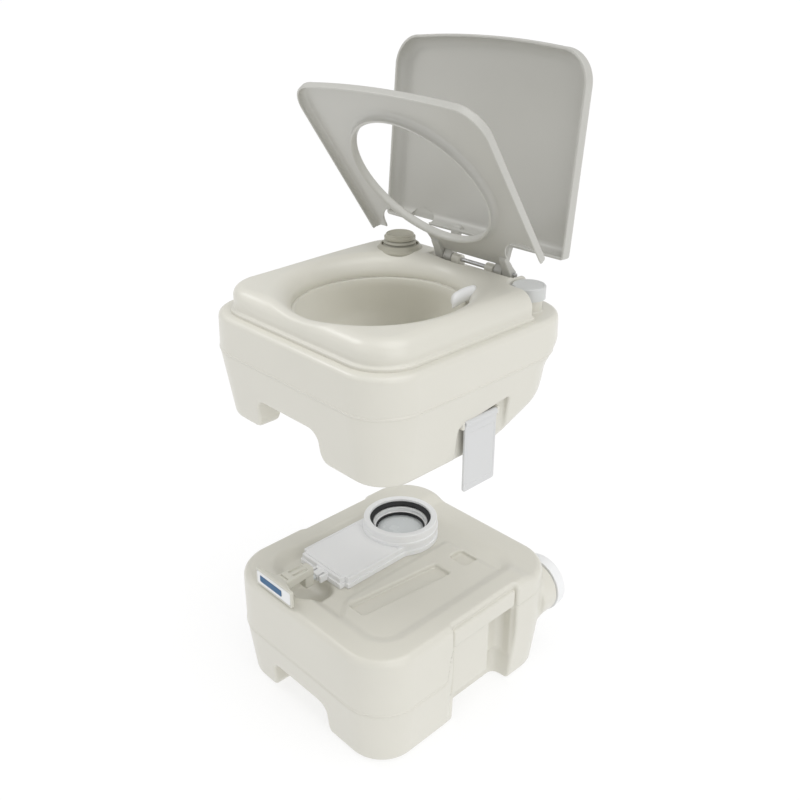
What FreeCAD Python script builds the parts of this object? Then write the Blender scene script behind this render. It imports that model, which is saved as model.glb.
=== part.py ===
import math
import os

import FreeCAD
import Part
import Sketcher

# Portable camp toilet, shown split for emptying: the flush section hangs above the waste tank,
# with its lid open and its seat part open.  Millimetres, +Z up, -Y is the front (the pull handle),
# +X is the right-hand side.  The origin is the middle of the waste tank's base.

DIMENSIONS = {
    # both tanks
    # (the flush tank's datum hangs "hover" above the valve's base at "rest_height"; its feet reach
    # below the datum and the waste tank's shoulders stand above the valve's base)
    "wall": 3.0, "hover": 288.0, "rest_height": 180.0, "foot_drop": 8.0, "shoulder_rise": 12.0,
    # waste tank
    "waste_half_width": 176.5, "waste_front": 186.0, "waste_back": 206.0, "waste_corner": 69.0,
    "waste_seam_height": 99.0, "waste_taper": 11.0, "waste_shoulder": 20.0,
    # hand cut-outs, the same on both tanks
    "cutout_left": 73.0, "cutout_right": 53.0, "cutout_depth": 44.0, "cutout_height": 55.0,
    # slide valve
    "valve_left": 57.0, "valve_back": 78.0, "valve_half_width": 56.0, "valve_front": 90.0,
    "plate_left": 62.0,
    "valve_thickness": 18.0, "collar_radius": 62.0, "collar_bore": 50.0, "collar_height": 19.0,
    "throat_radius": 40.0, "blade_thickness": 3.0, "blade_travel": 84.0, "rod_radius": 4.0,
    "handle_width": 86.0, "handle_height": 28.0, "handle_front": 181.0, "stem_half_width": 14.0,
    # pour-out spout
    "spout_right": 128.0, "spout_height": 112.0, "spout_radius": 37.0, "cap_radius": 47.0,
    "cap_length": 23.0,
    # flush tank
    "tank_half_width": 182.5, "tank_half_depth": 183.0, "tank_corner": 64.0, "ridge_height": 95.0,
    "tank_height": 146.0, "tank_taper": 15.0, "foot_height": 40.0, "pocket_half": 128.0,
    # deck and bowl
    "deck_half_width": 163.0, "deck_corner": 54.0, "deck_height": 34.0, "bowl_half_width": 118.0,
    "bowl_half_depth": 124.0, "bowl_forward": 14.0, "outlet_radius": 38.0, "spigot_radius": 44.0,
    # seat, lid and their hinge
    "hinge_back": 145.0, "hinge_height": 183.0, "pin_radius": 3.0, "cover_half_width": 168.5,
    "cover_length": 300.0, "cover_corner": 44.0, "cover_bow": 6.0, "seat_skirt": 16.0, "seat_angle": 56.0,
    "lid_skirt": 20.0, "lid_angle": 95.0, "hole_half_width": 113.0, "hole_half_depth": 100.0,
    # flush pump
    "pump_left": 104.0, "pump_back": 122.0, "pump_flange_radius": 36.0, "knob_radius": 24.0,
    "pump_barrel_radius": 20.0,
    # fill neck and cap
    "fill_right": 133.0, "fill_back": 134.0, "fill_cap_radius": 23.0, "fill_neck_radius": 19.0,
    # side latches
    "latch_out": 175.0, "latch_height": 46.0, "latch_length": 98.0, "latch_width": 60.0,
    "latch_middle": -3.0, "catch_height": 154.0,
}

doc = FreeCAD.newDocument("CampToilet")
sheet = doc.addObject("Spreadsheet::Sheet", "Dims")
for row, (alias, number) in enumerate(DIMENSIONS.items(), start=1):
    sheet.set("A%d" % row, alias)
    sheet.set("B%d" % row, str(number))
    sheet.setAlias("B%d" % row, alias)
doc.recompute()

pieces = []                          # every finished sub-part, in the order it is written out


def size(alias):
    """A driving dimension, read from the sheet."""
    return float(sheet.get(alias))


def vector(x, y, z):
    return FreeCAD.Vector(x, y, z)


def finish(obj, label):
    """Gives a sub-part its name and adds it to the list that is written out."""
    obj.Label = label
    pieces.append(obj)
    return obj


# Levels of the lifted flush section, worked out once from the driving dimensions
wall = size("wall")
feet_z = size("rest_height") + size("hover")
rim_z = feet_z + size("tank_height")
deck_z = rim_z + size("deck_height")
pocket_z = feet_z + size("foot_height")
hinge = vector(0, size("hinge_back"), feet_z + size("hinge_height"))
valve = vector(-size("valve_left"), size("valve_back"), size("rest_height"))
HINGE_AXIS = vector(1, 0, 0)


# ---------------------------------------------------------------- shape helpers

def rounded_wire(half_x, front, back, radius, z):
    """Rounded rectangle at height z, from y = -front to y = back."""
    left, right, low, high = -half_x, half_x, -front, back
    corners = ((right, low, -90), (right, high, 0), (left, high, 90), (left, low, 180))
    edges = []
    ends = []
    for x, y, start in corners:
        centre = vector(x - math.copysign(radius, x), y - math.copysign(radius, y - (low + high) / 2), z)
        points = [centre + vector(radius * math.cos(math.radians(start + turn)),
                                  radius * math.sin(math.radians(start + turn)), 0)
                  for turn in (0, 45, 90)]
        ends.append((points[0], points[2]))
        edges.append(Part.Arc(*points).toShape())
    for index in range(4):
        edges.append(Part.makeLine(ends[index][1], ends[(index + 1) % 4][0]))
    return Part.Wire(Part.__sortEdges__(edges))


def stack(sections):
    """Solid through rounded rectangles (half width, front, back, corner radius, height)."""
    solids = [Part.makeLoft([rounded_wire(*low), rounded_wire(*high)], True, True)
              for low, high in zip(sections, sections[1:])]
    return solids[0].multiFuse(solids[1:]).removeSplitter() if solids[1:] else solids[0]


def block(x_low, x_high, y_low, y_high, z_low, z_high):
    return Part.makeBox(x_high - x_low, y_high - y_low, z_high - z_low, vector(x_low, y_low, z_low))


def rod(radius, start, end):
    return Part.makeCylinder(radius, (end - start).Length, start, end - start)


def ellipse_wire(centre, half_x, half_y):
    """Ellipse as a closed wire; a round one counts as long in y, so that lofts don't twist."""
    long_axis = vector(1, 0, 0) if half_x > half_y else vector(0, 1, 0)
    major, minor = max(half_x, half_y), min(half_x, half_y)
    if major == minor:
        major += 0.001
    across = vector(0, 0, 1).cross(long_axis)
    ellipse = Part.Ellipse(centre + long_axis * major, centre + across * minor, centre)
    return Part.Wire(ellipse.toShape())


def round_edges(shape, radius, wanted):
    """Fillets the edges that wanted(edge) picks."""
    return shape.makeFillet(radius, [edge for edge in shape.Edges if wanted(edge)])


def level(z):
    """Picks edges that lie wholly at height z."""
    return lambda edge: abs(edge.BoundBox.ZMin - z) < 0.05 and abs(edge.BoundBox.ZMax - z) < 0.05


def feature(label, shape, placement=None):
    """A sub-part whose shape comes from Part's own functions."""
    obj = doc.addObject("Part::Feature", label)
    obj.Shape = shape
    if placement is not None:
        obj.Placement = placement
    return finish(obj, label)


def both_sides(shape):
    """The shape with its mirror image across the middle plane."""
    return [shape, shape.mirror(vector(0, 0, 0), vector(1, 0, 0))]


# ---------------------------------------------------------------- sketch helpers

def plane_of(body, role):
    return [item for item in body.Origin.OriginFeatures if item.Role == role][0]


def outline_sketch(body, role, corners):
    """Closed sketch of straight edges; each corner is a pair of sheet expressions."""
    sketch = body.newObject("Sketcher::SketchObject", body.Name + "_outline")
    sketch.AttachmentSupport = [(plane_of(body, role), "")]
    sketch.MapMode = "FlatFace"
    values = [tuple(float(sketch.evalExpression(text)) for text in corner) for corner in corners]
    count = len(values)
    for index, (u, v) in enumerate(values):
        nxt = values[(index + 1) % count]
        sketch.addGeometry(Part.LineSegment(vector(u, v, 0), vector(nxt[0], nxt[1], 0)), False)
    for index in range(count):
        sketch.addConstraint(Sketcher.Constraint("Coincident", index, 2, (index + 1) % count, 1))
    for index, corner in enumerate(corners):
        for text, value, kind, axis in zip(corner, values[index], ("DistanceX", "DistanceY"), (-2, -1)):
            if abs(value) < 1e-9:
                sketch.addConstraint(Sketcher.Constraint("PointOnObject", index, 1, axis))
            else:
                number = sketch.addConstraint(Sketcher.Constraint(kind, -1, 1, index, 1, value))
                sketch.setExpression("Constraints[%d]" % number, text)
    return sketch


def turned(label, corners, place, spin=None):
    """Body of revolution: corners are (radius, height) expressions, place three expressions."""
    body = doc.addObject("PartDesign::Body", label)
    sketch = outline_sketch(body, "XZ_Plane", corners)
    turn = body.newObject("PartDesign::Revolution", label + "_turn")
    turn.Profile = sketch
    turn.ReferenceAxis = (sketch, ["V_Axis"])
    turn.Angle = 360
    body.Tip = turn
    locate(body, place, spin)
    return finish(body, label)


def padded(label, role, corners, length, place, spin=None, midplane=False):
    """Body extruded from a straight-edged outline by the length expression."""
    body = doc.addObject("PartDesign::Body", label)
    sketch = outline_sketch(body, role, corners)
    pad = body.newObject("PartDesign::Pad", label + "_pad")
    pad.Profile = sketch
    pad.setExpression("Length", length)
    pad.Midplane = midplane
    body.Tip = pad
    locate(body, place, spin)
    return finish(body, label)


def locate(obj, place, spin=None):
    if spin is not None:
        obj.Placement = FreeCAD.Placement(vector(0, 0, 0), spin)
    for axis, text in zip("xyz", place):
        obj.setExpression("Placement.Base." + axis, text)


def ring(inner, outer, low, high):
    """Corners of a plain rectangular ring section."""
    return [(inner, low), (outer, low), (outer, high), (inner, high)]


VALVE_XY = ("-Dims.valve_left", "Dims.valve_back")
FEET = "Dims.rest_height + Dims.hover"
DECK = FEET + " + Dims.tank_height + Dims.deck_height"


# ---------------------------------------------------------------- waste tank

def waste_block(inset):
    """Outer form of the waste tank, or with an inset its inner form."""
    seam = size("waste_seam_height")
    top = size("rest_height") + size("shoulder_rise")
    shoulder = size("waste_shoulder")

    def section(less, z):
        grow = inset + less
        return (size("waste_half_width") - grow, size("waste_front") - grow,
                size("waste_back") - grow, size("waste_corner") - grow, z)
    sections = [section(size("waste_taper"), inset), section(0, seam), section(1.5, top - shoulder),
                section(7, top - 6), section(shoulder - 2, top - inset)]
    return stack(sections)


def waste_hollows(grow):
    """Recesses pressed into the tank's skin, grown by the wall on the inner side."""
    recess_floor = 167.0
    top = size("rest_height")
    cuts = [block(-size("cutout_left") - grow, size("cutout_right") + grow, -300,
                  -size("waste_front") + size("cutout_depth") + grow, -10,
                  size("cutout_height") + grow)]
    side = block(recess_floor - grow, 300, -38 - grow, 102 + grow, -10, top + 4 + grow)
    grip = block(recess_floor - 24 - grow, 300, 46 - grow, 100 + grow, -10, 148 + grow)
    foot = block(136 - grow, 300, -26 - grow, 100 + grow, -10, 58 + grow)
    cuts += both_sides(side) + both_sides(grip) + both_sides(foot)
    # bay between the shoulders, in which the slide valve stands, and the notch its rod slides out through
    outline = (128 + grow, 134 + grow, 150 + grow, 30 + grow)
    bay = stack([outline + (top - grow,), outline + (top + 60,)])
    notch = block(valve.x - 13 - grow, valve.x + 13 + grow, -300, -130, top - grow, top + 60)
    # channel under the pull handle, and the long shallow trough beside the valve
    channel = block(valve.x - 40 - grow, valve.x + 40 + grow, -152 - grow, -92 + grow,
                    top - 22 - grow, top + 50)
    trough = block(34 - grow, 72 + grow, -104 - grow, 66 + grow, top - 7 - grow, top + 50)
    pocket = block(40 - grow, 68 + grow, 80 - grow, 120 + grow, top - 12 - grow, top + 50)
    return cuts + [bay, notch, channel, trough, pocket]


def waste_tank():
    outer = waste_block(0)
    inner = waste_block(wall)
    for cut in waste_hollows(0):
        outer = outer.cut(cut)
    for cut in waste_hollows(wall):
        inner = inner.cut(cut)
    spout = vector(size("spout_right"), size("waste_back"), size("spout_height"))
    reach = spout + vector(0, 15, 0)
    boss = rod(size("spout_radius") + 8, spout - vector(0, 6, 0), spout + vector(0, 3, 0))
    neck = rod(size("spout_radius"), spout - vector(0, 6, 0), reach)
    # the upper part of each side recess stands proud; its lower edge is what a latch hooks under
    catch = both_sides(block(165, 172.4, -36, 100, size("catch_height"), size("rest_height") + 2))
    shell = outer.multiFuse([boss, neck] + catch).cut(inner)
    bore = rod(size("spout_radius") - wall, spout - vector(0, 20, 0), reach + vector(0, 1, 0))
    throat = rod(size("throat_radius") + 1, vector(valve.x, valve.y, 150), vector(valve.x, valve.y, 200))
    return feature("waste_tank", shell.cut(bore).cut(throat))


# ---------------------------------------------------------------- slide valve

def valve_plan(middle, half_width, front, radius, z_low, z_high):
    """Keyhole plate: a straight run about x = middle from the front, ending in a round about the throat."""
    plate = block(middle - half_width, middle + half_width, -front, valve.y, z_low, z_high)
    end = rod(radius, vector(valve.x, valve.y, z_low), vector(valve.x, valve.y, z_high))
    return plate.fuse(end)


def valve_housings():
    """Lower housing and upper cover of the valve, with the blade's pocket between them."""
    base = size("rest_height")
    middle = base + size("valve_thickness") / 2
    top = base + size("valve_thickness")
    slack = 0.5
    blade = size("blade_thickness") / 2 + 0.3
    blade_radius = size("throat_radius") + 4 + slack
    pocket_front = blade_radius + size("blade_travel") - valve.y
    pocket = valve_plan(valve.x, blade_radius, pocket_front, blade_radius, middle - blade, middle + blade)
    throat = rod(size("throat_radius"), vector(valve.x, valve.y, base - 5), vector(valve.x, valve.y, top + 5))
    tunnel = rod(size("rod_radius") + 0.05, vector(valve.x, -200, middle), vector(valve.x, valve.y, middle))
    edges = [side * size("valve_half_width") - size("plate_left") for side in (-1, 1)]
    steps = [block(edge - 8, edge + 8, -size("valve_front") - 5, -size("valve_front") + 10, base, top + 1)
             for edge in edges]
    screws = [vector(edge, y, top) for edge in (edges[0] + 4, edges[1] - 4) for y in (-62, -14, 28)]
    for label, low, high in (("valve_housing", base, middle), ("valve_cover", middle, top)):
        shape = valve_plan(-size("plate_left"), size("valve_half_width"), size("valve_front"),
                           size("collar_radius"), low, high)
        for cut in [pocket, throat, tunnel] + steps:
            shape = shape.cut(cut)
        for spot in screws:
            shape = shape.cut(rod(1.8, spot - vector(0, 0, 14), spot + vector(0, 0, 1)))
            shape = shape.cut(rod(3.6, spot - vector(0, 0, 2.5), spot + vector(0, 0, 1)))
        feature(label, shape)
    heads = [rod(3.4, spot - vector(0, 0, 2.5), spot + vector(0, 0, -0.2)).fuse(
        rod(1.8, spot - vector(0, 0, 14), spot - vector(0, 0, 2))).cut(
        block(spot.x - 3, spot.x + 3, spot.y - 0.5, spot.y + 0.5, spot.z - 1.2, spot.z + 1))
        for spot in screws]
    feature("valve_screws", Part.makeCompound(heads))


def valve_blade():
    """Sliding blade with its rod; it parts from the throat by sliding to the front."""
    middle = size("rest_height") + size("valve_thickness") / 2
    half = size("blade_thickness") / 2
    radius = size("throat_radius") + 4
    disc = rod(radius, vector(valve.x, valve.y, middle - half), vector(valve.x, valve.y, middle + half))
    back_of_stem = -112
    shaft = rod(size("rod_radius"), vector(valve.x, back_of_stem, middle),
                vector(valve.x, valve.y - radius + 12, middle))
    return feature("valve_blade", disc.fuse(shaft))


def handle_section(half_width, half_height, y):
    middle = size("rest_height") + size("valve_thickness") / 2 + 20
    points = [vector(valve.x + a * half_width, y, middle + b * half_height)
              for a, b in ((-1, -1), (1, -1), (1, 1), (-1, 1), (-1, -1))]
    return Part.makePolygon(points)


def valve_handle():
    """Pull handle: a flared stem that drops to the rod, and a shallow tray at its front."""
    front = size("handle_front")
    stem_half = size("stem_half_width")
    half_height = size("handle_height") / 2
    stem = Part.makeLoft([handle_section(stem_half - 5, 7, -116), handle_section(stem_half, 9, -front + 5)],
                         True, True)
    tray = Part.makeLoft([handle_section(stem_half + 6, half_height - 3, -front + 5.4),
                          handle_section(size("handle_width") / 2, half_height, -front + 3.5),
                          handle_section(size("handle_width") / 2, half_height, -front)], True, True)
    middle = size("rest_height") + size("valve_thickness") / 2
    drop = block(valve.x - 10, valve.x + 10, -128, -112, middle - 6, middle + 24)
    shape = stem.fuse(tray).fuse(drop).removeSplitter()
    recess = Part.makeBox(size("handle_width") - 6, 1.6, size("handle_height") - 6,
                          vector(valve.x - size("handle_width") / 2 + 3, -front - 0.1,
                                 middle + 20 - half_height + 3))
    return feature("valve_handle", shape.cut(recess))


HANDLE_Z = "Dims.rest_height + Dims.valve_thickness / 2 + 20"
PLATE = [("-Dims.handle_width / 2 + 3.2", "-Dims.handle_height / 2 + 3.2"),
         ("Dims.handle_width / 2 - 3.2", "-Dims.handle_height / 2 + 3.2"),
         ("Dims.handle_width / 2 - 3.2", "Dims.handle_height / 2 - 3.2"),
         ("-Dims.handle_width / 2 + 3.2", "Dims.handle_height / 2 - 3.2")]
PANEL = [("-26", "-5.5"), ("26", "-5.5"), ("26", "5.5"), ("-26", "5.5")]


def slide_valve():
    valve_housings()
    turned("valve_gasket", ring("Dims.throat_radius - 2", "Dims.throat_radius + 0.9", "-Dims.wall", "0"),
           VALVE_XY + ("Dims.rest_height",))
    turned("valve_collar", [("Dims.throat_radius + 2.2", "0"), ("Dims.collar_radius", "0"),
                            ("Dims.collar_radius", "Dims.collar_height - 2"),
                            ("Dims.collar_radius - 2", "Dims.collar_height"),
                            ("Dims.collar_bore", "Dims.collar_height"), ("Dims.collar_bore", "7"),
                            ("Dims.throat_radius + 2.2", "7")],
           VALVE_XY + ("Dims.rest_height + Dims.valve_thickness",))
    turned("collar_lip_seal", [("Dims.spigot_radius + 0.6", "8"), ("Dims.collar_bore - 0.02", "8"),
                               ("Dims.collar_bore - 0.02", "15"), ("Dims.collar_bore - 1.5", "15"),
                               ("Dims.spigot_radius + 0.6", "11")],
           VALVE_XY + ("Dims.rest_height + Dims.valve_thickness",))
    turned("throat_seal", ring("Dims.throat_radius - 2.2", "Dims.throat_radius - 0.02", "-4.8", "-0.6"),
           VALVE_XY + ("Dims.rest_height + Dims.valve_thickness",))
    valve_blade()
    valve_handle()
    front = ("-Dims.valve_left", "-Dims.handle_front + 1.5", HANDLE_Z)
    padded("handle_plate", "XZ_Plane", PLATE, "1.4", front)
    padded("handle_label", "XZ_Plane", PANEL, "0.6",
           ("-Dims.valve_left - 6", "-Dims.handle_front + 0.1", HANDLE_Z))


# ---------------------------------------------------------------- pour-out spout

def spout():
    """Screw cap on the rear neck; its profile is turned about the neck's axis, along +Y."""
    spin = FreeCAD.Rotation(vector(1, 0, 0), -90)
    place = ("Dims.spout_right", "Dims.waste_back + 3.5", "Dims.spout_height")
    turned("spout_cap", [("Dims.spout_radius + 0.5", "0"), ("Dims.cap_radius", "0"),
                         ("Dims.cap_radius", "Dims.cap_length - 5"),
                         ("Dims.cap_radius - 5", "Dims.cap_length"), ("0", "Dims.cap_length"),
                         ("0", "Dims.cap_length - 4"), ("Dims.spout_radius + 0.5", "Dims.cap_length - 4")],
           place, spin)
    turned("spout_gasket", ring("Dims.spout_radius - 6", "Dims.spout_radius", "12", "14.5"), place, spin)


# ---------------------------------------------------------------- flush tank

def tank_block(inset):
    ridge = feet_z + size("ridge_height")

    def section(less, z):
        grow = inset + less
        return (size("tank_half_width") - grow, size("tank_half_depth") - grow,
                size("tank_half_depth") - grow, size("tank_corner") - grow, z)
    return stack([section(size("tank_taper"), feet_z - size("foot_drop") + inset), section(0, ridge),
                  section(2, rim_z - 5), section(7, rim_z - inset)])


def tank_hollows(grow):
    """Underside pocket over the valve, hand cut-outs, side recesses and the raised rear corner."""
    half = size("pocket_half") + grow
    front_half, back_half = half + 6, half + 18
    pocket = stack([(half, front_half, back_half, 30 + grow, feet_z - 20),
                    (half, front_half, back_half, 30 + grow, pocket_z + grow)])
    front = block(-size("cutout_left") - grow, size("cutout_right") + grow, -300, 0, feet_z - 20,
                  pocket_z + grow)
    side = block(166 - grow, 300, -41 - grow, 52 + grow, feet_z - 20, feet_z + 64 + grow)
    # the rear is set in below the ridge, and slopes up from the middle of the underside
    ledge = block(-300, 300, 162 - grow, 300, feet_z - 20, feet_z + 94 + grow)
    slope_start = 44 - 2.2 * grow
    rear = Part.Face(Part.makePolygon([vector(-300, slope_start, feet_z - 9),
                                       vector(-300, slope_start + 208, feet_z + 88),
                                       vector(-300, slope_start + 208, feet_z - 9),
                                       vector(-300, slope_start, feet_z - 9)]))
    return [pocket, front, ledge, rear.extrude(vector(600, 0, 0))] + both_sides(side)


def flush_tank():
    outer = tank_block(0)
    inner = tank_block(wall)
    for cut in tank_hollows(0):
        outer = outer.cut(cut)
    for cut in tank_hollows(wall):
        inner = inner.cut(cut)
    ears = []
    for y in (size("latch_middle") - size("latch_width") / 2 - 5.5,
              size("latch_middle") + size("latch_width") / 2 + 0.5):
        ears += both_sides(block(162, 177.5, y, y + 5, feet_z + size("latch_height") - 8,
                                 feet_z + size("latch_height") + 8))
    opening = stack([(150, 150, 150, 42, rim_z - 10), (150, 150, 150, 42, rim_z + 10)])
    fill = vector(size("fill_right"), size("fill_back"), rim_z - wall)
    neck = rod(size("fill_neck_radius"), fill, fill + vector(0, 0, 30))
    deck_hole = opening.cut(rod(size("fill_neck_radius") + 12, fill - vector(0, 0, 20), fill + vector(0, 0, 40)))
    shell = outer.multiFuse([neck] + ears).cut(inner).cut(deck_hole)
    shell = shell.cut(rod(size("fill_neck_radius") - wall, fill - vector(0, 0, 10), fill + vector(0, 0, 40)))
    outlet = vector(valve.x, valve.y, pocket_z)
    shell = shell.cut(rod(size("spigot_radius") + 3, outlet - vector(0, 0, 5), outlet + vector(0, 0, 10)))
    for side in (-1, 1):
        pin = vector(side * size("latch_out"), size("latch_middle"), feet_z + size("latch_height"))
        reach = vector(0, size("latch_width") / 2 + 5.6, 0)
        shell = shell.cut(rod(2.02, pin - reach, pin + reach))
    return feature("flush_tank", shell)


# ---------------------------------------------------------------- deck with bowl

spigot_z = pocket_z - 15 - size("foot_drop") - size("shoulder_rise")


def bowl_form(grow, z_high, z_low):
    """Funnel from the oval rim to the round outlet, which lies back and to the left."""
    rim = vector(0, -size("bowl_forward"), z_high)
    middle = vector(valve.x * 0.55, valve.y * 0.5 - 8, deck_z - 82)
    outlet_top = vector(valve.x, valve.y, pocket_z + 22)
    outlet = vector(valve.x, valve.y, z_low)
    mouth = [ellipse_wire(rim, size("bowl_half_width") + grow, size("bowl_half_depth") + grow),
             ellipse_wire(vector(rim.x - 4, rim.y + 4, deck_z - 34), size("bowl_half_width") - 10 + grow,
                          size("bowl_half_depth") - 12 + grow),
             ellipse_wire(middle, 84 + grow, 86 + grow),
             ellipse_wire(outlet_top, size("outlet_radius") + grow, size("outlet_radius") + grow)]
    end = ellipse_wire(outlet, size("outlet_radius") + grow, size("outlet_radius") + grow)
    return Part.makeLoft(mouth, True, False).fuse(Part.makeLoft([mouth[-1], end], True, True))


def deck_form(inset):
    half = size("deck_half_width")
    corner = size("deck_corner")
    back = half + 3

    def section(less, z):
        grow = inset + less
        return (half - grow, half - grow, back - grow, corner - grow, z)
    low = rim_z + 0.5 - (5 if inset > 0 else 0)
    step = -4.5
    return stack([section(step, low), section(step, low + 3.5), section(0, low + 4.5),
                  section(0.8, deck_z - 22), section(4, deck_z - 13), section(9, deck_z - 7.5),
                  section(14, deck_z - 3.8), section(22, deck_z - inset)])


nozzle_way = vector(math.cos(math.radians(51.5)), math.sin(math.radians(51.5)), 0)
nozzle_root = vector(0, -size("bowl_forward"), deck_z - 14) + nozzle_way * 134


def deck_cuts(grow):
    """Hinge recess along the rear edge, and the clear space round the fill neck."""
    recess = block(-56 - grow, 104 + grow, hinge.y - 13 - grow, 300, hinge.z - 13 - grow, deck_z + 50)
    fill = vector(size("fill_right"), size("fill_back"), rim_z - 20)
    clear = size("fill_cap_radius") + 3 + grow
    corner = block(fill.x, 300, fill.y - clear, 300, rim_z - 20, deck_z + 50).fuse(
        block(fill.x - clear, 300, fill.y, 300, rim_z - 20, deck_z + 50))
    return [recess, rod(clear, fill, fill + vector(0, 0, 100)), corner]


def bowl_deck():
    outer = deck_form(0)
    inner = deck_form(wall)
    for cut in deck_cuts(0):
        outer = outer.cut(cut)
    for cut in deck_cuts(wall):
        inner = inner.cut(cut)
    shell = outer.cut(inner)
    bowl = bowl_form(wall, deck_z - 1, spigot_z)
    spigot = rod(size("spigot_radius"), vector(valve.x, valve.y, spigot_z),
                 vector(valve.x, valve.y, pocket_z + 8))
    shape = shell.fuse(bowl).fuse(spigot).cut(bowl_form(0, deck_z + 3, spigot_z - 1))
    pump = vector(-size("pump_left"), size("pump_back"), deck_z)
    shape = shape.cut(rod(size("pump_barrel_radius") + 0.4, pump - vector(0, 0, 12), pump + vector(0, 0, 2)))
    for knuckle in HINGE_TANK:
        cheek = block(knuckle[0], knuckle[1], hinge.y - 7, hinge.y + 7, hinge.z - 15, hinge.z)
        shape = shape.fuse(cheek).fuse(rod(7, vector(knuckle[0], hinge.y, hinge.z),
                                           vector(knuckle[1], hinge.y, hinge.z)))
    shape = shape.cut(rod(size("pin_radius") + 0.02, hinge - vector(90, 0, 0), hinge + vector(130, 0, 0)))
    shape = shape.cut(rod(6.4, nozzle_root - nozzle_way * 40, nozzle_root + nozzle_way * 24))
    return feature("bowl_deck", shape)


# Knuckles along the hinge pin, as spans of x: fixed to the deck, on the lid, on the seat
HINGE_TANK = ((-15, 1), (48, 64))
HINGE_LID = ((-31, -16), (65, 80))
HINGE_SEAT = ((-47, -32), (81, 96))


def hinge_pin():
    pin = doc.addObject("Part::Cylinder", "hinge_pin")
    pin.setExpression("Radius", "Dims.pin_radius")
    pin.Height = 152
    pin.Placement = FreeCAD.Placement(vector(0, 0, 0), FreeCAD.Rotation(vector(0, 1, 0), 90))
    locate_by_hinge(pin, "-51")
    return finish(pin, "hinge_pin")


def locate_by_hinge(obj, x):
    obj.setExpression("Placement.Base.x", x)
    obj.setExpression("Placement.Base.y", "Dims.hinge_back")
    obj.setExpression("Placement.Base.z", FEET + " + Dims.hinge_height")


# ---------------------------------------------------------------- seat and lid

def cover_outline(inset, back, z):
    """Plan of the seat and the lid: straight back, large front corners and a bowed front edge."""
    half = size("cover_half_width") - inset
    front = size("cover_length") - inset - hinge.y
    corner = size("cover_corner") - inset
    bow = size("cover_bow")
    side_end = -front + corner + bow
    arc = math.sqrt(0.5)
    edges = [Part.makeLine(vector(-half, back, z), vector(half, back, z)),
             Part.makeLine(vector(half, back, z), vector(half, side_end, z)),
             Part.makeLine(vector(-half, side_end, z), vector(-half, back, z)),
             Part.Arc(vector(half, side_end, z),
                      vector(half - corner * (1 - arc), side_end - corner * arc, z),
                      vector(half - corner, side_end - corner, z)).toShape(),
             Part.Arc(vector(half - corner, side_end - corner, z), vector(0, -front, z),
                      vector(-half + corner, side_end - corner, z)).toShape(),
             Part.Arc(vector(-half + corner, side_end - corner, z),
                      vector(-half + corner * (1 - arc), side_end - corner * arc, z),
                      vector(-half, side_end, z)).toShape()]
    return Part.Face(Part.Wire(Part.__sortEdges__(edges)))


def dish(low, high, back, thickness, top_rounding):
    """Upside-down tray with a skirt all round."""
    outer = cover_outline(0, back, low).extrude(vector(0, 0, high - low))
    outer = round_edges(outer, top_rounding, level(high))
    inner = cover_outline(thickness, back - thickness, low - 1).extrude(vector(0, 0, high - low - thickness + 1))
    return outer.cut(inner)


def hinge_arm(span, root_y, root_low, root_high):
    """Arm from a cover's rear edge down to its knuckle on the pin."""
    x_low, x_high = span
    profile = Part.makePolygon([vector(x_low, root_y, root_low), vector(x_low, hinge.y - 3, root_low),
                                vector(x_low, hinge.y, hinge.z - 3), vector(x_low, hinge.y + 3, hinge.z + 4),
                                vector(x_low, root_y + 18, root_high), vector(x_low, root_y, root_high),
                                vector(x_low, root_y, root_low)])
    arm = Part.Face(profile).extrude(vector(x_high - x_low, 0, 0))
    knuckle = rod(7, vector(x_low, hinge.y, hinge.z), vector(x_high, hinge.y, hinge.z))
    bore = rod(size("pin_radius") + 0.05, vector(x_low - 1, hinge.y, hinge.z),
               vector(x_high + 1, hinge.y, hinge.z))
    return arm.fuse(knuckle), bore


def opened(angle):
    """Placement of a cover that is swung up about the hinge pin by the angle."""
    return FreeCAD.Placement(vector(0, 0, 0), FreeCAD.Rotation(HINGE_AXIS, -angle), hinge)


seat_low = hinge.z - 10
seat_top = seat_low + size("seat_skirt")
lid_low = seat_top + 1.5
hole_centre = vector(0, hinge.y - 150, 0)


def seat():
    back = hinge.y - 22
    shape = dish(seat_low, seat_top, back, wall, 6)
    lip = Part.Face(ellipse_wire(hole_centre + vector(0, 0, seat_low + 3), size("hole_half_width") + wall,
                                 size("hole_half_depth") + wall)).extrude(vector(0, 0, seat_top - seat_low - 5))
    # the skirt and the lip stop short of the deck that the shut seat lies on
    mouth = ellipse_wire(vector(0, -size("bowl_forward"), rim_z - 20), size("bowl_half_width") - 3,
                         size("bowl_half_depth") - 3)
    deck = deck_form(-0.8).cut(Part.Face(mouth).extrude(vector(0, 0, 80)))
    shape = shape.fuse(lip).cut(deck)
    arms = [hinge_arm(span, back - 12, seat_top - 5, seat_top - 1) for span in HINGE_SEAT]
    for arm, bore in arms:
        shape = shape.fuse(arm)
    shape = shape.cut(Part.Face(ellipse_wire(hole_centre + vector(0, 0, seat_low - 5), size("hole_half_width"),
                                             size("hole_half_depth"))).extrude(vector(0, 0, 40)))
    for arm, bore in arms:
        shape = shape.cut(bore)
    for x, y, radius in ((-98, size("pump_back") - 2, 46), (size("fill_right") + 2, size("fill_back") - 14, 42)):
        shape = shape.cut(rod(radius, vector(x, y, seat_low - 5), vector(x, y, seat_top + 5)))
    return feature("seat", largest(shape), opened(size("seat_angle")))


def largest(shape):
    """The main solid, without slivers that a cut has parted from it."""
    return max(shape.Solids, key=lambda solid: solid.Volume)


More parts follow.
